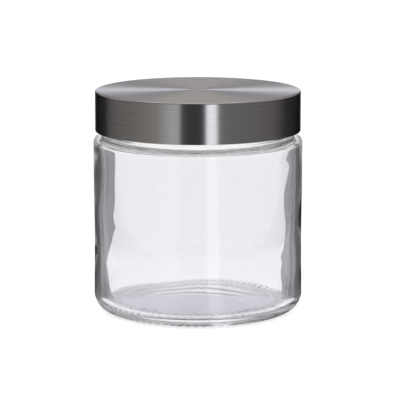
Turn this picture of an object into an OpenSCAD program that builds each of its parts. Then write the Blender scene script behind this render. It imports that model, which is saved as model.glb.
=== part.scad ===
// Glass storage canister with a screw lid: a spun steel cap over a moulded plastic
// insert, sealed by a flat ring. Millimetres, +Z up, origin at the centre of the foot.

/* [Jar body] */
// Outside diameter of the glass body
jar_d = 106; // [96:1:130]
// Height of the shoulder, where the neck begins
shoulder_h = 90.8; // [60:0.1:180]
// Thickness of the glass in the side
wall = 3.2; // [2.6:0.1:3.6]
// Thickness of the glass under the flat of the shoulder
shoulder_wall = 3.7; // [3:0.1:4.5]
// Radius of the round heel between side and foot
heel_r = 9.5; // [9:0.5:12]
// Height of the inside floor at its edge
floor_h = 5.2; // [4.6:0.1:8]
// Rise of the inside floor towards its middle
floor_crown = 1.4; // [0.8:0.1:3]
// Radius of the round corner between the inside floor and the side
inside_heel_r = 4.5; // [3:0.5:8]
// Depth of the hollow under the foot
push_up = 2.2; // [1:0.1:3]
// Width of the flat ring that the jar stands on
foot_w = 5; // [3:0.5:6]

/* [Foot knurls] */
// Number of knurl grooves round the foot
knurls = 72; // [48:4:96]
// Depth of each groove
knurl_depth = 0.45; // [0.3:0.05:0.6]
// Radius of the round tool that cuts each groove
knurl_tool_r = 1.1; // [0.9:0.1:1.3]
// Length of each groove
knurl_len = 8; // [6:0.5:9]
// Lean of each groove from the radius, in degrees
knurl_lean = 24; // [0:2:30]

/* [Neck] */
// How far the neck stands in from the side
neck_inset = 5.6; // [5:0.1:7]
// Height of the neck above the shoulder
neck_h = 19; // [18:0.5:24]
// Thickness of the glass in the neck
neck_wall = 3; // [2.6:0.1:3.6]
// Radius of the fire-polished edges of the rim
lip_r = 1; // [0.6:0.1:1.2]
// Radius of the inside corner of the shoulder
inside_shoulder_r = 1.8; // [1:0.1:1.9]
// Width of the flat ring between that corner and the round throat below the neck
throat_flat = 0.2; // [0.1:0.1:1]
// Radius of the corner where the neck meets the shoulder
neck_fillet = 0.4; // [0.2:0.1:0.6]
// Width of the flat ring between that corner and the round shoulder
shoulder_flat = 0.2; // [0.1:0.1:1]

/* [Screw] */
// Number of thread ribs on the neck, and of lugs in the lid
starts = 4; // [3:1:4]
// Rise of the lid in one whole turn
lead = 26; // [24:0.5:32]
// Angle that each glass rib covers, in degrees
rib_span = 70; // [50:1:76]
// Height of the low end of each rib above the shoulder
rib_start_h = 7.2; // [6.6:0.1:8]
// How far a rib stands out of the neck
rib_depth = 1.5; // [1.2:0.1:1.6]
// Width of a rib or lug at its root
rib_root_w = 3.2; // [2.8:0.1:3.4]
// Width of a rib or lug at its crest
rib_crest_w = 1.6; // [1.2:0.1:1.8]
// Angle that each lug in the lid covers, in degrees
lug_span = 24; // [16:1:30]
// Angle from the low end of a rib to the near end of the closed lug, in degrees
lug_lead_in = 5; // [2:1:8]
// Gap between the crest of a rib or lug and the wall that it faces
screw_gap = 0.5; // [0.4:0.05:0.6]
// Play between a lug and the rib above it
flank_gap = 0.32; // [0.25:0.01:0.5]

/* [Lid] */
// Thickness of the steel sheet
sheet_t = 0.5; // [0.4:0.05:0.7]
// Outer radius of the cap's top edge
cap_edge_r = 0.8; // [0.7:0.1:1.5]
// Height of the sheet folded up inside the cap's lower rim
hem_h = 2.4; // [1.6:0.1:3]
// Gap between the cap's lower rim and the glass shoulder
rim_gap = 1.4; // [1:0.1:3]
// Thickness of the insert's side
insert_wall = 2.1; // [1.8:0.1:2.6]
// Thickness of the insert's top
insert_top = 1.4; // [1:0.1:2.2]
// Gap between the insert and the steel round it
insert_gap = 0.1; // [0.05:0.05:0.2]
// Gap between the folded rim and the insert
hem_gap = 0.2; // [0.1:0.05:0.3]
// Thickness of the ring that centres the lid in the mouth
plug_t = 1.2; // [1:0.1:2]
// Depth of that ring below the insert's top
plug_h = 4; // [2.5:0.1:6]
// Gap between that ring and the mouth
plug_gap = 0.4; // [0.3:0.05:0.6]

/* [Seal] */
// Thickness of the seal
seal_t = 1.2; // [0.8:0.1:2]
// Gap between the seal and the insert on each side of it
seal_gap = 0.2; // [0.1:0.05:0.3]
// Chamfer on the seal's edges
seal_chamfer = 0.25; // [0.1:0.05:0.3]

/* [Hidden] */
$fn = 180;
corner_steps = 10;
long_steps = 16;
rib_steps = 28;
lug_steps = 12;
taper_share = 0.16;
taper_end_share = 0.2;
bury = 0.6;

body_r = jar_d / 2;
inner_r = body_r - wall;
neck_r = body_r - neck_inset;
mouth_r = neck_r - neck_wall;
rim_h = shoulder_h + neck_h;
ceiling_h = shoulder_h - shoulder_wall;
heel_centre_r = body_r - heel_r;
foot_in_r = heel_centre_r - foot_w;
floor_r = inner_r - inside_heel_r;

// The throat is one quarter round, from the flat ring of the shoulder's inside up into the neck
throat_r = inner_r - mouth_r - inside_shoulder_r - throat_flat;

// The shoulder is one quarter round, from the side up to the flat ring round the neck
shoulder_r = neck_inset - neck_fillet - shoulder_flat;

insert_in_r = neck_r + rib_depth + screw_gap;
insert_out_r = insert_in_r + insert_wall;
cap_r = insert_out_r + insert_gap + sheet_t;
cap_bottom = shoulder_h + rim_gap;
insert_seat = rim_h + seal_t;
insert_roof = insert_seat + insert_top;
cap_top = insert_roof + sheet_t;
hem_in_r = cap_r - 2 * sheet_t;
lug_crest_r = insert_in_r - rib_depth;
plug_out_r = mouth_r - plug_gap;
plug_in_r = plug_out_r - plug_t;

// Where a lug and a rib share the radius, their half widths add up to this
flank_sum = (rib_root_w + rib_crest_w) / 2
    - (rib_root_w - rib_crest_w) * screw_gap / (2 * rib_depth);
lug_drop = flank_sum + flank_gap;
rib_h = shoulder_h + rib_start_h;

// Points along an arc of radius r about [x, y], from angle a to angle b
function arc(x, y, r, a, b, steps = corner_steps) =
    [for (i = [0 : steps]) let (t = a + (b - a) * i / steps) [x + r * cos(t), y + r * sin(t)]];

// Points along a shallow dome from its edge at [r, base] to its middle
function dome(r, base, rise) =
    [for (i = [0 : long_steps]) let (s = 1 - i / long_steps) [r * s, base + rise * (1 - s * s)]];

function reversed(list) = [for (i = [len(list) - 1 : -1 : 0]) list[i]];

// Share of full height at position s along a rib, so that both of its ends fade out
function fade(s) = min(1, taper_end_share + (1 - taper_end_share) * min(s, 1 - s) / taper_share);

// A rib that climbs round the axis, with its foot buried in the wall at radius root
module climbing_rib(root, crest, start_angle, span, start_h, steps) {
    depth = crest - root;
    outward = sign(depth);
    foot = root - outward * bury;
    foot_half_w = (rib_crest_w + (rib_root_w - rib_crest_w) * (1 + bury / abs(depth))) / 2;
    ring = [for (i = [0 : steps])
        let (s = i / steps,
             a = start_angle + span * s,
             z = start_h + lead * span * s / 360,
             top = root + depth * fade(s))
        each [for (p = [[foot, -foot_half_w], [top, -rib_crest_w / 2],
                        [top, rib_crest_w / 2], [foot, foot_half_w]])
            [p[0] * cos(a), p[0] * sin(a), z + p[1]]]];
    sides = 4;
    skin = [for (i = [0 : steps - 1], k = [0 : sides - 1])
        let (a = i * sides + k, b = i * sides + (k + 1) % sides)
        each [[a, b, b + sides], [a, b + sides, a + sides]]];
    near_cap = [for (k = [1 : sides - 2]) [0, k + 1, k]];
    far_cap = [for (k = [1 : sides - 2]) let (e = steps * sides) [e, e + k, e + k + 1]];
    faces = concat(skin, near_cap, far_cap);
    polyhedron(ring, outward < 0 ? [for (f = faces) reversed(f)] : faces);
}

module jar_profile() {
    polygon(concat(
        reversed(dome(foot_in_r, 0, push_up)),
        arc(heel_centre_r, heel_r, heel_r, -90, 0, long_steps),
        arc(body_r - shoulder_r, shoulder_h - shoulder_r, shoulder_r, 0, 90),
        arc(neck_r + neck_fillet, shoulder_h + neck_fillet, neck_fillet, 270, 180),
        arc(neck_r - lip_r, rim_h - lip_r, lip_r, 0, 90),
        arc(mouth_r + lip_r, rim_h - lip_r, lip_r, 90, 180),
        arc(mouth_r + throat_r, ceiling_h + throat_r, throat_r, 180, 270),
        arc(inner_r - inside_shoulder_r, ceiling_h - inside_shoulder_r, inside_shoulder_r, 90, 0),
        arc(floor_r, floor_h + inside_heel_r, inside_heel_r, 0, -90),
        dome(floor_r, floor_h, floor_crown)
    ));
}

module knurl_grooves() {
    for (i = [0 : knurls - 1])
        rotate(i * 360 / knurls)
            translate([heel_centre_r, 0, knurl_depth - knurl_tool_r])
                rotate([0, 90, knurl_lean])
                    cylinder(h = knurl_len, r = knurl_tool_r, center = true, $fn = 32);
}

module glass_jar() {
    color("lightcyan", 0.4)
        union() {
            difference() {
                rotate_extrude() jar_profile();
                knurl_grooves();
            }
            for (i = [0 : starts - 1])
                climbing_rib(neck_r, neck_r + rib_depth, i * 360 / starts, rib_span, rib_h, rib_steps);
        }
}

module lid_cap() {
    fold_r = sheet_t;
    color("silver")
        rotate_extrude()
            polygon(concat(
                [[0, cap_top]],
                arc(cap_r - cap_edge_r, cap_top - cap_edge_r, cap_edge_r, 90, 0),
                arc(cap_r - fold_r, cap_bottom + fold_r, fold_r, 0, -180),
                [[hem_in_r, cap_bottom + hem_h], [cap_r - sheet_t, cap_bottom + hem_h]],
                arc(cap_r - cap_edge_r, cap_top - cap_edge_r, cap_edge_r - sheet_t, 0, 90),
                [[0, cap_top - sheet_t]]
            ));
}

module lid_insert() {
    edge_r = cap_edge_r - sheet_t + insert_gap;
    step_h = cap_bottom + hem_h + hem_gap;
    color("white")
        union() {
            rotate_extrude()
                polygon(concat(
                    [[0, insert_roof]],
                    arc(insert_out_r - edge_r, insert_roof - edge_r, edge_r, 90, 0),
                    [[insert_out_r, step_h], [hem_in_r - hem_gap, step_h],
                     [hem_in_r - hem_gap, cap_bottom + sheet_t], [insert_in_r, cap_bottom + sheet_t],
                     [insert_in_r, insert_seat], [plug_out_r, insert_seat],
                     [plug_out_r, insert_seat - plug_h], [plug_in_r, insert_seat - plug_h],
                     [plug_in_r, insert_seat], [0, insert_seat]]
                ));
            for (i = [0 : starts - 1])
                climbing_rib(insert_in_r, lug_crest_r, i * 360 / starts + lug_lead_in, lug_span,
                    rib_h + lead * lug_lead_in / 360 - lug_drop, lug_steps);
        }
}

module lid_seal() {
    in_r = plug_out_r + seal_gap;
    out_r = insert_in_r - 2 * seal_gap;
    color("whitesmoke")
        rotate_extrude()
            polygon([[in_r + seal_chamfer, rim_h], [out_r - seal_chamfer, rim_h],
                     [out_r, rim_h + seal_chamfer], [out_r, insert_seat - seal_chamfer],
                     [out_r - seal_chamfer, insert_seat], [in_r + seal_chamfer, insert_seat],
                     [in_r, insert_seat - seal_chamfer], [in_r, rim_h + seal_chamfer]]);
}

glass_jar();
lid_seal();
lid_insert();
lid_cap();
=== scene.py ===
"""Looks for a round glass canister with a brushed steel screw lid. Metres, +Z up, the CAD frame."""

import math

import bpy
import numpy as np
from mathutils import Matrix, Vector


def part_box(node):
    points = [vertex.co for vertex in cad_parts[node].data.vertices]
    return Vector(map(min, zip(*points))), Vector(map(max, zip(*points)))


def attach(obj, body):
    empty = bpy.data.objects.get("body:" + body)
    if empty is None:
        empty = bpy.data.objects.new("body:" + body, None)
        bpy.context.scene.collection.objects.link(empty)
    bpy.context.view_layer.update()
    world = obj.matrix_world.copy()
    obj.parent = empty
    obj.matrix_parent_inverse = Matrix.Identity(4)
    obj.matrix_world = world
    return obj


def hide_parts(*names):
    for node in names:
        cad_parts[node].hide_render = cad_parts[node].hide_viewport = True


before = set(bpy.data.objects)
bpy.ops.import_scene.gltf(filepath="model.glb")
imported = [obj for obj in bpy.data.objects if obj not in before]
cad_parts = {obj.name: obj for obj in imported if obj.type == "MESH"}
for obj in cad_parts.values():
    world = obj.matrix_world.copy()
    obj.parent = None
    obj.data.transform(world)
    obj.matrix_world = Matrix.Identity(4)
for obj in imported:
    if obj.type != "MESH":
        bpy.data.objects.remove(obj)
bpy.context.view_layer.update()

MM = 0.001
IMAGE_PX = 400

# Sizes read from the frame
jar_low, jar_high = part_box("glass_jar")
cap_low, cap_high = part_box("lid_cap")
insert_low, insert_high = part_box("lid_insert")
seal_low, seal_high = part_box("lid_seal")

# How far each dressed piece stays inside its CAD solid
SKIN = 0.02 * MM

# Points nearer than this to a wall lie on it
ON_WALL = 1e-6

# Glass jar
LID_GAP = 1.4 * MM
BODY_R = jar_high.x - SKIN
RIM_H = jar_high.z
SHOULDER_H = cap_low.z - LID_GAP
WALL = 3.2 * MM
SHOULDER_WALL = 3.7 * MM
HEEL_R = 9.5 * MM
FLOOR_H = 5.2 * MM
FLOOR_CROWN = 1.4 * MM
INSIDE_HEEL_R = 4.5 * MM
PUSH_UP = 2.2 * MM
FOOT_W = 5 * MM
NECK_INSET = 5.6 * MM
NECK_WALL = 3 * MM
NECK_FILLET = 0.4 * MM
SHOULDER_FLAT = 0.2 * MM
LIP_R = 1 * MM
THROAT_FLAT = 0.2 * MM
INSIDE_SHOULDER_R = 1.8 * MM
KNURLS = 72
KNURL_DEPTH = 0.45 * MM
KNURL_LEAN = math.radians(24)
KNURL_INWARD = 3.2 * MM
KNURL_REACH = 5.0 * MM
KNURL_FADE = 1 * MM
KNURL_SHARPNESS = 1.6
FOOT_TOP = 3 * MM
WAIST = 0.35 * MM
WAIST_H = 38 * MM
WAIST_REACH = 20 * MM
JAR_SEGMENTS = 576

# Screw
STARTS = 4
LEAD = 26 * MM
RIB_SPAN = math.radians(70)
RIB_START_H = 7.2 * MM
RIB_DEPTH = 1.5 * MM
RIB_ROOT_W = 3.2 * MM
RIB_CREST_W = 1.6 * MM
RIB_FADE = 0.16
LUG_SPAN = math.radians(24)
LUG_LEAD_IN = math.radians(5)
SCREW_GAP = 0.5 * MM
FLANK_GAP = 0.32 * MM

# Lid
SHEET_T = 0.5 * MM
CAP_EDGE_R = 0.8 * MM
CAP_EDGE_SOFTENED = 0.2 * MM
CAP_RIM_R = 4 * MM
CAP_RIM_SLOPE = 18
HEM_H = 2.4 * MM
INSERT_WALL = 2.1 * MM
INSERT_EDGE_R = 0.6 * MM
HEM_GAP = 0.2 * MM
PLUG_T = 1.2 * MM
PLUG_H = 4 * MM
PLUG_GAP = 0.4 * MM
SEAL_GAP = 0.2 * MM
SEAL_CHAMFER = 0.25 * MM
LID_SEGMENTS = 360
SHARP_ANGLE = math.radians(40)

INNER_R = BODY_R - WALL
SHOULDER_R = NECK_INSET - NECK_FILLET - SHOULDER_FLAT
NECK_R = BODY_R - NECK_INSET
MOUTH_R = NECK_R - NECK_WALL
THROAT_R = INNER_R - MOUTH_R - INSIDE_SHOULDER_R - THROAT_FLAT
CEILING_H = SHOULDER_H - SHOULDER_WALL
HEEL_CENTRE_R = BODY_R - HEEL_R
FOOT_IN_R = HEEL_CENTRE_R - FOOT_W
FLOOR_R = INNER_R - INSIDE_HEEL_R


# Profiles

def arc(r, z, radius, start, end, steps=14):
    """Points along an arc about (r, z), from angle start to angle end in degrees."""
    angles = np.radians(np.linspace(start, end, steps + 1))
    return [(r + radius * math.cos(a), z + radius * math.sin(a)) for a in angles]


def run(first, last, steps):
    """Inner points of a straight run, crowded towards its ends so that flat faces shade flat."""
    shares = [(1 - math.cos(math.pi * i / steps)) / 2 for i in range(1, steps)]
    return [(first[0] + (last[0] - first[0]) * s, first[1] + (last[1] - first[1]) * s) for s in shares]


def even_run(first, last, steps):
    """Inner points of a straight run at even steps."""
    shares = [i / steps for i in range(1, steps)]
    return [(first[0] + (last[0] - first[0]) * s, first[1] + (last[1] - first[1]) * s) for s in shares]


def dome(radius, base, rise, steps=24):
    """Points of a shallow dome, from its edge to its middle on the axis."""
    shares = [1 - i / steps for i in range(steps + 1)]
    return [(radius * s, base + rise * (1 - s * s)) for s in shares]


def linked(*stretches):
    """One outline from stretches. A number between two stretches is a crowded run's step count."""
    points = []
    gap = None
    for stretch in stretches:
        if isinstance(stretch, int):
            gap = stretch
            continue
        if gap and points:
            points += run(points[-1], stretch[0], gap)
        gap = None
        points += stretch
    return points


# Meshes

def lathe(name, profile, segments, shape=None):
    """A closed piece turned about the Z axis. shape(r, z, angle) may move the grid's points."""
    on_axis = [abs(r) < ON_WALL for r, _ in profile]
    capped = on_axis[0] and on_axis[-1]
    rings = np.array(profile[1:-1] if capped else profile, float)
    angles = np.arange(segments) * 2 * math.pi / segments
    r = np.repeat(rings[:, :1], segments, axis=1)
    z = np.repeat(rings[:, 1:], segments, axis=1)
    a = np.repeat(angles[None, :], len(rings), axis=0)
    if shape:
        r, z = shape(r, z, a)
    points = np.stack([r * np.cos(a), r * np.sin(a), z], axis=-1).reshape(-1, 3)
    count = len(rings)
    row = np.arange(count - 1 if capped else count)[:, None] * segments
    next_row = (row + segments) % (count * segments)
    column = np.arange(segments)[None, :]
    next_column = (column + 1) % segments
    quads = np.stack([row + column, row + next_column, next_row + next_column, next_row + column], axis=-1)
    faces = quads.reshape(-1, 4).tolist()
    points = points.tolist()
    if capped:
        first, last = len(points), len(points) + 1
        points += [[0, 0, profile[0][1]], [0, 0, profile[-1][1]]]
        top = (count - 1) * segments
        faces += [[first, (j + 1) % segments, j] for j in range(segments)]
        faces += [[last, top + j, top + (j + 1) % segments] for j in range(segments)]
    mesh = bpy.data.meshes.new(name)
    mesh.from_pydata(points, [], faces)
    mesh.update()
    mesh.shade_smooth()
    piece = bpy.data.objects.new(name, mesh)
    bpy.context.scene.collection.objects.link(piece)
    return piece


def smooth_step(x):
    x = np.clip(x, 0, 1)
    return x * x * (3 - 2 * x)


def window(x, low, high, fade):
    """1 between low and high, and fading to 0 over fade outside."""
    return smooth_step((x - low + fade) / fade) * smooth_step((high + fade - x) / fade)


def thread_height(z, angle, first_h, span):
    """Share of full height of the climbing ribs at this height and angle on a wall."""
    height = np.zeros_like(z)
    for i in range(STARTS):
        along = np.mod(angle - i * 2 * math.pi / STARTS + RIB_FADE, 2 * math.pi) - RIB_FADE
        centre = first_h + LEAD * along / (2 * math.pi)
        away = np.abs(z - centre)
        flank = np.clip((RIB_ROOT_W / 2 - away) / ((RIB_ROOT_W - RIB_CREST_W) / 2), 0, 1)
        share = along / span
        fade = np.clip(np.minimum(share, 1 - share) / RIB_FADE, 0, 1)
        height = np.maximum(height, smooth_step(flank) * fade)
    return height


# Inside of the glass: the slow waves of a pressed jar, as (amplitude, turns round, waves up, phase)
WAVES = [
    (0.070 * MM, 2, 0.8, 0.4),
    (0.050 * MM, 3, -1.3, 2.0),
    (0.030 * MM, 5, 1.9, 4.1),
    (0.014 * MM, 9, -2.7, 1.2),
]
WAVES_ABOVE_FLOOR = 16 * MM
WAVES_BELOW_CEILING = 9 * MM
WAVES_FADE = 6 * MM


def glass_waves(z, angle):
    up = 2 * math.pi * (z - FLOOR_H) / (CEILING_H - FLOOR_H)
    return sum(size * np.sin(turns * angle + rise * up + phase) for size, turns, rise, phase in WAVES)


def shape_jar(r, z, a):
    """The waist, the waves inside, the thread ribs on the neck and the knurls of the heel."""
    side = np.abs(r - BODY_R) < ON_WALL
    r = np.where(side, r - WAIST * np.exp(-((z - WAIST_H) / WAIST_REACH) ** 2), r)
    inside_wall = (np.abs(r - INNER_R) < ON_WALL) & (z < CEILING_H) & (z > FLOOR_H)
    even_part = window(z, FLOOR_H + WAVES_ABOVE_FLOOR, CEILING_H - WAVES_BELOW_CEILING, WAVES_FADE)
    r = np.where(inside_wall, r + glass_waves(z, a) * even_part, r)
    neck = (np.abs(r - NECK_R) < ON_WALL) & (z > SHOULDER_H)
    ribs = thread_height(z, a, SHOULDER_H + RIB_START_H, RIB_SPAN)
    r = np.where(neck, r + RIB_DEPTH * ribs, r)
    under = (z < HEEL_R) & (r > FOOT_IN_R - ON_WALL) & ((r > INNER_R) | (z < FOOT_TOP))
    lean = (r - HEEL_CENTRE_R) / HEEL_CENTRE_R * math.tan(KNURL_LEAN)
    groove = (0.5 + 0.5 * np.cos(KNURLS * (a - lean))) ** KNURL_SHARPNESS
    reach = window(r, HEEL_CENTRE_R - KNURL_INWARD, HEEL_CENTRE_R + KNURL_REACH, KNURL_FADE)
    z = np.where(under, z + KNURL_DEPTH * groove * reach, z)
    return r, z


def jar_profile():
    foot = (FOOT_IN_R, 0)
    heel = arc(HEEL_CENTRE_R, HEEL_R, HEEL_R, -90, 0, 36)
    neck_low = (NECK_R, SHOULDER_H + NECK_FILLET)
    neck_high = (NECK_R, RIM_H - LIP_R)
    return linked(
        dome(FOOT_IN_R, 0, PUSH_UP)[::-1],
        even_run(foot, heel[0], 16),
        heel,
        even_run(heel[-1], (BODY_R, SHOULDER_H - SHOULDER_R), 60),
        arc(BODY_R - SHOULDER_R, SHOULDER_H - SHOULDER_R, SHOULDER_R, 0, 90, 20),
        arc(NECK_R + NECK_FILLET, SHOULDER_H + NECK_FILLET, NECK_FILLET, 270, 180, 8),
        even_run(neck_low, neck_high, 58),
        arc(NECK_R - LIP_R, RIM_H - LIP_R, LIP_R, 0, 90, 10),
        arc(MOUTH_R + LIP_R, RIM_H - LIP_R, LIP_R, 90, 180, 10), 10,
        arc(MOUTH_R + THROAT_R, CEILING_H + THROAT_R, THROAT_R, 180, 270, 14),
        arc(INNER_R - INSIDE_SHOULDER_R, CEILING_H - INSIDE_SHOULDER_R, INSIDE_SHOULDER_R, 90, 0, 14),
        even_run((INNER_R, CEILING_H - INSIDE_SHOULDER_R), (INNER_R, FLOOR_H + INSIDE_HEEL_R), 90),
        arc(FLOOR_R, FLOOR_H + INSIDE_HEEL_R, INSIDE_HEEL_R, 0, -90, 24),
        dome(FLOOR_R, FLOOR_H, FLOOR_CROWN)[1:],
    )


def cap_profile():
    top, bottom, outer = cap_high.z - SKIN, cap_low.z + SKIN, cap_high.x - SKIN
    corner = CAP_EDGE_R - CAP_EDGE_SOFTENED
    slope = math.radians(CAP_RIM_SLOPE)
    drop = CAP_RIM_R * (1 - math.cos(slope))
    rim_start = outer - corner + (corner - CAP_RIM_R) * math.sin(slope)
    return linked(
        [(0, top - SHEET_T)], 12,
        arc(outer - CAP_EDGE_R, top - CAP_EDGE_R, CAP_EDGE_R - SHEET_T, 90, 0, 8), 8,
        [(outer - SHEET_T, bottom + HEM_H)],
        [(outer - 2 * SHEET_T, bottom + HEM_H)], 6,
        arc(outer - SHEET_T, bottom + SHEET_T, SHEET_T, -180, 0, 20), 14,
        arc(outer - corner, top - drop - corner * math.cos(slope), corner, 0, 90 - CAP_RIM_SLOPE, 12),
        arc(rim_start, top - CAP_RIM_R, CAP_RIM_R, 90 - CAP_RIM_SLOPE, 90, 8)[1:], 24,
        [(0, top)],
    )


def insert_profile():
    roof, bottom, outer = insert_high.z - SKIN, insert_low.z + SKIN, insert_high.x - SKIN
    inner = outer - INSERT_WALL
    seat = seal_high.z
    edge = INSERT_EDGE_R
    hem_in = cap_high.x - 2 * SHEET_T - HEM_GAP
    step = cap_low.z + HEM_H + HEM_GAP
    plug_out = MOUTH_R - PLUG_GAP
    plug_in = plug_out - PLUG_T
    nose = PLUG_T / 2
    return linked(
        [(0, seat)], 8,
        [(plug_in, seat)], 6,
        arc(plug_in + nose, seat - PLUG_H + nose, nose, -180, 0, 12), 6,
        [(plug_out, seat)], 6,
        [(inner, seat)],
        even_run((inner, seat), (inner, bottom), 56),
        [(inner, bottom)],
        [(hem_in, bottom)],
        [(hem_in, step)],
        [(outer, step)], 8,
        arc(outer - edge, roof - edge, edge, 0, 90, 8), 10,
        [(0, roof)],
    )


def shape_insert(r, z, a):
    """The lugs that run under the ribs of the glass."""
    inner = insert_high.x - SKIN - INSERT_WALL
    flank = (RIB_ROOT_W + RIB_CREST_W) / 2 - (RIB_ROOT_W - RIB_CREST_W) * SCREW_GAP / (2 * RIB_DEPTH)
    first_h = SHOULDER_H + RIB_START_H + LEAD * LUG_LEAD_IN / (2 * math.pi) - flank - FLANK_GAP
    lugs = thread_height(z, a - LUG_LEAD_IN, first_h, LUG_SPAN)
    wall = (np.abs(r - inner) < ON_WALL) & (z < seal_low.z - SKIN) & (z > insert_low.z + SHEET_T)
    return np.where(wall, r - RIB_DEPTH * lugs, r), z


def seal_profile():
    low, high = seal_low.z, seal_high.z
    outer = seal_high.x - SKIN
    inner = MOUTH_R - PLUG_GAP + SEAL_GAP
    c = SEAL_CHAMFER
    return linked(
        arc(outer - c, high - c, c, 0, 90, 5), 6,
        arc(inner + c, high - c, c, 90, 180, 5),
        arc(inner + c, low + c, c, 180, 270, 5), 6,
        arc(outer - c, low + c, c, 270, 360, 5),
    )


# Materials

class Nodes:
    """A short way to build a node tree: add a node with its inputs, and get its sockets."""

    def __init__(self, tree):
        self.tree = tree
        tree.nodes.clear()

    def add(self, kind, inputs=None, **settings):
        node = self.tree.nodes.new(kind)
        for key, value in settings.items():
            setattr(node, key, value)
        for key, value in (inputs or {}).items():
            if isinstance(value, bpy.types.NodeSocket):
                self.tree.links.new(value, node.inputs[key])
            else:
                node.inputs[key].default_value = value
        return node

    def math(self, operation, a, b=0.0):
        return self.add("ShaderNodeMath", {0: a, 1: b}, operation=operation).outputs[0]

    def scaled(self, value, low, high, to_low, to_high):
        node = self.add(
            "ShaderNodeMapRange",
            {"Value": value, "From Min": low, "From Max": high, "To Min": to_low, "To Max": to_high},
        )
        return node.outputs["Result"]

    def mixed(self, share, first, second):
        """First colour where share is 0, second where it is 1."""
        node = self.add("ShaderNodeMix", {0: share, 6: first, 7: second}, data_type="RGBA")
        return node.outputs[2]

    def ramp(self, value, stops):
        node = self.add("ShaderNodeValToRGB", {"Fac": value})
        ramp = node.color_ramp
        while len(ramp.elements) > 1:
            ramp.elements.remove(ramp.elements[-1])
        for i, (place, colour) in enumerate(stops):
            element = ramp.elements[0] if i == 0 else ramp.elements.new(place)
            element.position = place
            level = colour if isinstance(colour, tuple) else (colour,) * 3
            element.color = (*level, 1)
        return node.outputs["Color"]

    def coordinates(self, kind="Object"):
        return self.add("ShaderNodeTexCoord").outputs[kind]

    def split(self, vector):
        return self.add("ShaderNodeSeparateXYZ", {"Vector": vector}).outputs

    def from_axis(self, place):
        """Distance from the Z axis."""
        squares = [self.math("MULTIPLY", place[word], place[word]) for word in "XY"]
        return self.math("SQRT", self.math("ADD", *squares))

    def noise(self, vector, scale, detail):
        inputs = {"Vector": vector, "Scale": scale, "Detail": detail}
        return self.add("ShaderNodeTexNoise", inputs).outputs["Fac"]

    def bump(self, height, strength, distance):
        inputs = {"Height": height, "Strength": strength, "Distance": distance}
        return self.add("ShaderNodeBump", inputs).outputs["Normal"]

    def surface(self, shader):
        self.add("ShaderNodeOutputMaterial", {"Surface": shader.outputs[0]})


def material(name):
    mat = bpy.data.materials.new(name)
    mat.use_nodes = True
    return mat, Nodes(mat.node_tree)


def clear_glass():
    """Faintly tinted in the thick body, clearer in the neck, with the soft unevenness of a pressing."""
    mat, n = material("clear_glass")
    place = n.coordinates()
    slow = n.noise(place, 28.0, 2.0)
    fine = n.noise(place, 420.0, 3.0)
    body = n.ramp(fine, [(0.3, (0.90, 0.895, 0.925)), (0.7, (0.92, 0.915, 0.945))])
    neck = (0.985, 0.985, 0.99, 1)
    share = n.scaled(n.split(place)["Z"], CEILING_H - 3 * MM, CEILING_H, 0.0, 1.0)
    n.surface(n.add("ShaderNodeBsdfPrincipled", {
        "Base Color": n.mixed(share, body, neck),
        "Roughness": n.scaled(fine, 0.3, 0.7, 0.0, 0.012),
        "IOR": 1.5,
        "Transmission Weight": 1.0,
        "Normal": n.bump(slow, 0.25, 0.3 * MM),
    }))
    return mat


def brushed_steel():
    """Fine streaks round the axis, on the top and on the side alike."""
    mat, n = material("brushed_steel")
    place = n.split(n.coordinates())
    radius = n.from_axis(place)
    across = n.math("SUBTRACT", radius, place["Z"])
    turn_x = n.math("DIVIDE", place["X"], radius)
    turn_y = n.math("DIVIDE", place["Y"], radius)

    def streaks(fineness, arcs, detail):
        vector = n.add("ShaderNodeCombineXYZ", {
            "X": n.math("MULTIPLY", turn_x, arcs),
            "Y": n.math("MULTIPLY", turn_y, arcs),
            "Z": n.math("MULTIPLY", across, fineness),
        })
        return n.noise(vector.outputs[0], 1.0, detail)

    fine = n.math("MULTIPLY", streaks(9000.0, 6.0, 2.0), 0.6)
    broad = n.math("MULTIPLY", streaks(1400.0, 2.2, 3.0), 0.4)
    both = n.math("ADD", fine, broad)
    n.surface(n.add("ShaderNodeBsdfPrincipled", {
        "Base Color": n.ramp(both, [(0.35, (0.55, 0.54, 0.535)), (0.65, (0.65, 0.64, 0.635))]),
        "Metallic": 1.0,
        "Roughness": n.scaled(both, 0.35, 0.65, 0.22, 0.27),
        "Anisotropic": 1.0,
        "Anisotropic Rotation": 0.25,
        "Normal": n.bump(both, 0.12, 0.02 * MM),
        "Tangent": n.add("ShaderNodeTangent", direction_type="RADIAL", axis="Z").outputs[0],
    }))
    return mat


def moulded_plastic():
    mat, n = material("insert_plastic")
    place = n.coordinates()
    grain = n.noise(place, 2600.0, 2.0)
    cloud = n.noise(place, 60.0, 3.0)
    n.surface(n.add("ShaderNodeBsdfPrincipled", {
        "Base Color": n.ramp(cloud, [(0.3, (0.80, 0.80, 0.79)), (0.7, (0.85, 0.85, 0.84))]),
        "Roughness": n.scaled(grain, 0.3, 0.7, 0.38, 0.5),
        "IOR": 1.49,
        "Normal": n.bump(grain, 0.15, 0.03 * MM),
    }))
    return mat


def silicone():
    mat, n = material("seal_rubber")
    cloud = n.noise(n.coordinates(), 150.0, 3.0)
    n.surface(n.add("ShaderNodeBsdfPrincipled", {
        "Base Color": n.ramp(cloud, [(0.3, (0.78, 0.78, 0.76)), (0.7, (0.83, 0.83, 0.81))]),
        "Roughness": n.scaled(cloud, 0.3, 0.7, 0.5, 0.62),
        "IOR": 1.41,
        "Transmission Weight": 0.25,
        "Normal": n.bump(cloud, 0.1, 0.05 * MM),
    }))
    return mat


# Pieces

def dress(piece, node, body, mat):
    piece.data.materials.append(mat)
    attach(piece, body)
    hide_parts(node)
    return piece


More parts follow.
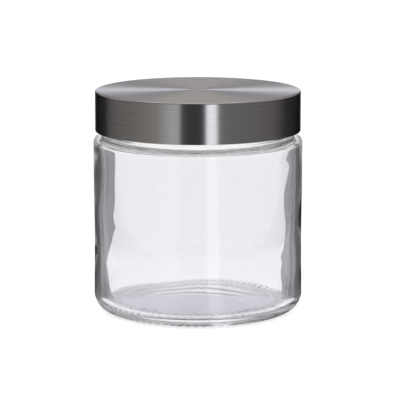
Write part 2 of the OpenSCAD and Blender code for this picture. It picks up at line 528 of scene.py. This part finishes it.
dress(lathe("canister_glass", jar_profile(), JAR_SEGMENTS, shape_jar),
      "glass_jar", "jar", clear_glass())
cap = dress(lathe("canister_cap", cap_profile(), LID_SEGMENTS),
            "lid_cap", "lid", brushed_steel())
insert = dress(lathe("canister_insert", insert_profile(), LID_SEGMENTS, shape_insert),
               "lid_insert", "lid", moulded_plastic())
seal = dress(lathe("canister_seal", seal_profile(), LID_SEGMENTS),
             "lid_seal", "seal", silicone())
for piece in (cap, insert, seal):
    piece.data.set_sharp_from_angle(angle=SHARP_ANGLE)


# Studio

PLAIN = (1, 1, 1)
WARM = (1.04, 1.0, 0.96)
COOL = (0.97, 0.97, 1.05)
PINK = (1.1, 0.97, 0.94)

# What the metal and the gloss of the glass reflect: light level and tint by azimuth in degrees, 0 towards
# the photographer and positive to the right
STUDIO_LEVELS = [
    (-180, 0.72, COOL), (-172, 0.62, COOL), (-168, 0.10, PLAIN), (-155, 0.0, PLAIN), (-124, 0.0, PLAIN),
    (-118, 0.05, WARM), (-110, 0.095, WARM), (-100, 0.12, WARM), (-80, 0.17, WARM), (-69, 0.21, WARM),
    (-45, 0.3, WARM), (-30, 0.56, PLAIN), (-21, 0.6, PLAIN), (-17, 0.08, PLAIN), (-8, 0.045, PLAIN),
    (3, 0.045, COOL), (8, 0.13, COOL), (9.5, 1.56, COOL), (19, 1.56, COOL), (22, 0.3, PLAIN),
    (28, 0.2, PLAIN), (69, 0.155, WARM), (92, 0.09, WARM), (106, 0.02, PLAIN), (112, 0.0, PLAIN),
    (155, 0.0, PLAIN), (168, 0.10, PLAIN), (172, 0.78, COOL), (180, 0.72, COOL),
]

# A ramp's colours stop at 1, so the ramps hold shares of this level, and the strength gives it back
STUDIO_PEAK = 1.68

# The same higher up, by degrees above the horizon behind the jar, over the top and down to the front
OVERHEAD_LEVELS = [
    (8, 0.7, COOL), (11, 0.4, COOL), (14, 0.10, PINK), (34, 0.08, PINK), (44, 1.4, WARM),
    (72, 1.4, WARM), (84, 0.2, PINK), (100, 0.04, PLAIN), (180, 0.04, PLAIN),
]

# High up to the left and right of them, by how far a direction leans to the side or to the back
ASIDE_BACK = (0.54, 0.505, 0.495)
ASIDE_FRONT = (0.12, 0.115, 0.11)
ASIDE_FADE = (0.18, 0.5)
BACK_FADE = (-0.2, 0.3)
HIGH_FADE = (0.16, 0.24)

# What shows through the glass, by degrees away from straight behind the jar
THROUGH_LEVELS = [(0, 1.0), (70, 1.0), (105, 0.45), (180, 0.3)]

# Light that reaches matt surfaces: through the glass to the plastic inside, and directly
INSIDE_LEVEL = 2.2
SOFT_LEVEL = 0.95

FLOOR_HALF = 6.0
FLOOR_COLOUR = 0.45
FLOOR_TINT = (1.0, 1.0, 0.985, 1)
FLOOR_GLOW = 0.6
# Out to 120 mm from the jar's axis the floor glows a little more, fading by 200 mm: a painted pool of
# light where the jar's shade falls
NEAR_JAR_PAINTED_LIGHT_GLOW = 0.68
NEAR_JAR_PAINTED_LIGHT_FADE = (120 * MM, 200 * MM)
# Under the jar the floor's glow falls almost to nothing: a painted shadow
UNDER_JAR_PAINTED_SHADOW_GLOW = 0.04
UNDER_JAR_PAINTED_SHADOW_FADE = (BODY_R - 12 * MM, BODY_R)

# The floor lies just below the foot, and the card that only polished surfaces see lies between them
FLOOR_DROP = 0.05 * MM
GLOSS_FLOOR_DROP = 0.02 * MM


def peak_share(colour, level=1.0):
    return tuple(level * c / STUDIO_PEAK for c in colour)


def tinted_stops(levels):
    return [(place, peak_share(tint, level)) for place, level, tint in levels]


def azimuth_light(n, x, y):
    """The studio's light at a direction or a place: x to the right, y away from the photographer."""
    angle = n.math("ARCTAN2", x, n.math("MULTIPLY", y, -1.0))
    share = n.math("ADD", n.math("DIVIDE", angle, 2 * math.pi), 0.5)
    return n.ramp(share, tinted_stops([(a / 360 + 0.5, level, tint) for a, level, tint in STUDIO_LEVELS]))


def matt_bounced(n, ray):
    """1 for a ray that has left a matt surface."""
    return n.math("GREATER_THAN", ray["Diffuse Depth"], 0.5)


def grey_share(level):
    return (level / STUDIO_PEAK,) * 3 + (1,)


def build_world():
    world = bpy.data.worlds.new("studio")
    bpy.context.scene.world = world
    world.use_nodes = True
    n = Nodes(world.node_tree)
    ray = n.add("ShaderNodeLightPath").outputs
    way = n.split(n.coordinates("Generated"))
    round_about = azimuth_light(n, way["X"], way["Y"])
    height = n.math("DIVIDE", n.math("ARCTAN2", way["Z"], way["Y"]), math.pi)
    overhead = n.ramp(height, tinted_stops([(a / 180, level, tint) for a, level, tint in OVERHEAD_LEVELS]))
    shade_stops = [(0, peak_share(ASIDE_FRONT)), (1, peak_share(ASIDE_BACK))]
    shade = n.ramp(n.scaled(way["Y"], *BACK_FADE, 0.0, 1.0), shade_stops)
    overhead = n.mixed(n.scaled(n.math("ABSOLUTE", way["X"]), *ASIDE_FADE, 0.0, 1.0), overhead, shade)
    gloss = n.mixed(n.scaled(way["Z"], *HIGH_FADE, 0.0, 1.0), round_about, overhead)
    by_gloss = n.mixed(ray["Is Glossy Ray"], grey_share(SOFT_LEVEL), gloss)
    aside = n.math("DIVIDE", n.math("ABSOLUTE", n.math("ARCTAN2", way["X"], way["Y"])), math.pi)
    seen = n.ramp(aside, [(a / 180, level / STUDIO_PEAK) for a, level in THROUGH_LEVELS])
    through = n.mixed(matt_bounced(n, ray), seen, grey_share(INSIDE_LEVEL))
    by_glass = n.mixed(ray["Is Transmission Ray"], by_gloss, through)
    light = n.mixed(ray["Is Camera Ray"], by_glass, grey_share(1))
    back = n.add("ShaderNodeBackground", {"Color": light, "Strength": STUDIO_PEAK})
    n.add("ShaderNodeOutputWorld", {"Surface": back.outputs[0]})


def plane(name, corners, mat):
    mesh = bpy.data.meshes.new(name)
    mesh.from_pydata(corners, [], [tuple(range(len(corners)))])
    mesh.materials.append(mat)
    card = bpy.data.objects.new(name, mesh)
    bpy.context.scene.collection.objects.link(card)
    return card


def floor_square(name, height, mat):
    half = FLOOR_HALF
    corners = [(-half, -half, height), (half, -half, height), (half, half, height), (-half, half, height)]
    return plane(name, corners, mat)


def seen_only_by(card, glossy=False, transmission=False):
    card.visible_camera = False
    card.visible_diffuse = False
    card.visible_glossy = glossy
    card.visible_transmission = transmission
    card.visible_volume_scatter = False
    card.visible_shadow = False


def glowing(mat, n, light, strength, under=None):
    """Let a stage material glow, over another shader if there is one, without sampling it as a lamp."""
    shader = n.add("ShaderNodeEmission", {"Color": light, "Strength": strength})
    if under:
        shader = n.add("ShaderNodeAddShader", {0: under.outputs[0], 1: shader.outputs[0]})
    n.surface(shader)
    mat.cycles.emission_sampling = "NONE"
    return mat


def build_floor():
    mat, n = material("studio_floor")
    ray = n.add("ShaderNodeLightPath").outputs
    shown = n.math("MAXIMUM", ray["Is Camera Ray"], ray["Is Transmission Ray"])
    shown = n.math("MAXIMUM", shown, ray["Is Glossy Ray"])
    away = n.from_axis(n.split(n.coordinates()))
    # Painted light: the glow is a little higher near the jar
    glow_with_painted_pool = n.scaled(away, *NEAR_JAR_PAINTED_LIGHT_FADE, NEAR_JAR_PAINTED_LIGHT_GLOW, FLOOR_GLOW)
    # Painted shadow: the glow falls almost to nothing under the jar
    level = n.math("MULTIPLY", glow_with_painted_pool, n.scaled(away, *UNDER_JAR_PAINTED_SHADOW_FADE, UNDER_JAR_PAINTED_SHADOW_GLOW / NEAR_JAR_PAINTED_LIGHT_GLOW, 1.0))
    boost = n.scaled(matt_bounced(n, ray), 0.0, 1.0, 1.0, INSIDE_LEVEL)
    strength = n.math("MULTIPLY", n.math("MULTIPLY", shown, level), boost)
    paint = n.add("ShaderNodeBsdfDiffuse", {"Color": (FLOOR_COLOUR,) * 3 + (1,)})
    floor_square("studio_floor", -FLOOR_DROP, glowing(mat, n, FLOOR_TINT, strength, paint))


def build_gloss_floor():
    """What polished surfaces see when they look down: the dim studio round the white sweep."""
    mat, n = material("gloss_floor")
    place = n.split(n.coordinates())
    light = azimuth_light(n, place["X"], place["Y"])
    card = floor_square("gloss_floor", -GLOSS_FLOOR_DROP, glowing(mat, n, light, STUDIO_PEAK))
    seen_only_by(card, glossy=True)


# Flags behind the jar draw its edges. Their near edges follow these distances behind the jar's axis, in
# metres, each with the angle in degrees off the line of sight past the jar's side
FLAG_EDGES = {
    "left": [(0, 18), (0.1, 15), (0.13, 11), (0.18, 7.4), (0.21, 6.8), (0.25, 6.2), (0.31, 8.1), (1, 8.4)],
    "right": [(0, 10), (0.09, 8.4), (0.12, 7.4), (0.16, 9), (0.31, 9.3), (0.4, 9.4), (0.5, 11.5), (1, 12)],
}

# Levels of the flags on the floor, by the same angle in degrees
FLAG_LEVELS = {
    "left": [(5, 0.32), (11, 0.28), (12.5, 0.2), (14.5, 0.125), (30, 0.12), (44, 0.2)],
    "right": [(5, 0.36), (12.3, 0.32), (13.3, 0.17), (30, 0.16), (49, 0.2)],
}

# Levels of the upright flags at the back, by metres from the middle
FLAG_BACK_LEVELS = [(0.2, 1.0), (0.35, 0.85), (0.55, 0.35), (0.8, 0.12), (1.3, 0.10)]
FLAG_START = 0.8 * BODY_R
FLAG_LIFT = 0.4 * MM
FLAG_SPREAD = {"left": 46, "right": 49}
FLAG_FAR = 1.0
FLAG_TALL = 0.5
FLAG_NEAR_WIDTH = 0.04


def back_flag_material():
    """Flags far behind fade in from the white sweep between them."""
    mat, n = material("back_flag")
    last = FLAG_BACK_LEVELS[-1][0]
    share = n.math("DIVIDE", n.math("ABSOLUTE", n.split(n.coordinates())["X"]), last)
    return glowing(mat, n, n.ramp(share, [(x / last, level) for x, level in FLAG_BACK_LEVELS]), 1.0)


def low_flag_material(word):
    """Flags on the floor, shaded by the angle off the line of sight past the jar's side."""
    mat, n = material(f"edge_flag_{word}")
    levels = FLAG_LEVELS[word]
    last = levels[-1][0]
    place = n.split(n.coordinates())
    off = n.math("SUBTRACT", n.math("ABSOLUTE", place["X"]), FLAG_START)
    angle = n.math("DIVIDE", n.math("ARCTAN2", off, place["Y"]), math.radians(last))
    return glowing(mat, n, n.ramp(angle, [(a / last, level) for a, level in levels]), 1.0)


def flag_x(side, distance, angle):
    """How far out a line lies that leaves the jar's side at this angle."""
    return side * (FLAG_START + distance * math.tan(math.radians(angle)))


def build_flags():
    back_mat = back_flag_material()
    for word, side in (("left", -1), ("right", 1)):
        edge = [(flag_x(side, y, a), y, FLAG_LIFT) for y, a in FLAG_EDGES[word]]
        far_x = flag_x(side, FLAG_FAR, FLAG_SPREAD[word])
        outer = [(far_x, FLAG_FAR, FLAG_LIFT), (side * (FLAG_START + FLAG_NEAR_WIDTH), 0, FLAG_LIFT)]
        low = plane(f"flag_floor_{word}", edge + outer, low_flag_material(word))
        seen_only_by(low, transmission=True)
        ends = (edge[-1][0], far_x)
        corners = [(x, FLAG_FAR, z) for x, z in zip((*ends, *ends[::-1]), (0, 0, FLAG_TALL, FLAG_TALL))]
        back = plane(f"flag_back_{word}", corners, back_mat)
        seen_only_by(back, transmission=True)


LAMP_SIZE = 1.6
LAMP_POWER = 1.5
LAMP_PLACE = (0.1, -0.1, 1.6)


def build_lamp():
    light = bpy.data.lights.new("overhead", "AREA")
    light.shape = "DISK"
    light.size = LAMP_SIZE
    light.energy = LAMP_POWER
    lamp = bpy.data.objects.new("overhead", light)
    lamp.location = LAMP_PLACE
    lamp.visible_glossy = False
    lamp.visible_transmission = False
    bpy.context.scene.collection.objects.link(lamp)


def build_camera():
    """A long lens a little above the lid, looking along +Y, as the photograph was taken."""
    focal_px = 2600
    distance = 1.325
    elevation = math.radians(9.855)
    aim = (1.05 * MM, 0.0, 56.15 * MM)
    back = distance * math.cos(elevation)
    up = distance * math.sin(elevation)
    data = bpy.data.cameras.new("camera")
    data.sensor_width = 36.0
    data.lens = data.sensor_width * focal_px / IMAGE_PX
    data.clip_start = 0.05
    data.clip_end = 50.0
    camera = bpy.data.objects.new("camera", data)
    camera.location = (aim[0], aim[1] - back, aim[2] + up)
    camera.rotation_euler = (math.pi / 2 - elevation, 0, 0)
    bpy.context.scene.collection.objects.link(camera)
    bpy.context.scene.camera = camera


build_world()
build_floor()
build_gloss_floor()
build_flags()
build_lamp()
build_camera()

scene = bpy.context.scene
scene.view_settings.view_transform = "Standard"
scene.cycles.use_denoising = True
scene.cycles.max_bounces = 24
scene.cycles.diffuse_bounces = 10
scene.cycles.glossy_bounces = 12
scene.cycles.transmission_bounces = 20
scene.cycles.transparent_max_bounces = 16

# The plastic behind the glass keeps its light
scene.cycles.blur_glossy = 0.0
scene.cycles.sample_clamp_indirect = 0.0
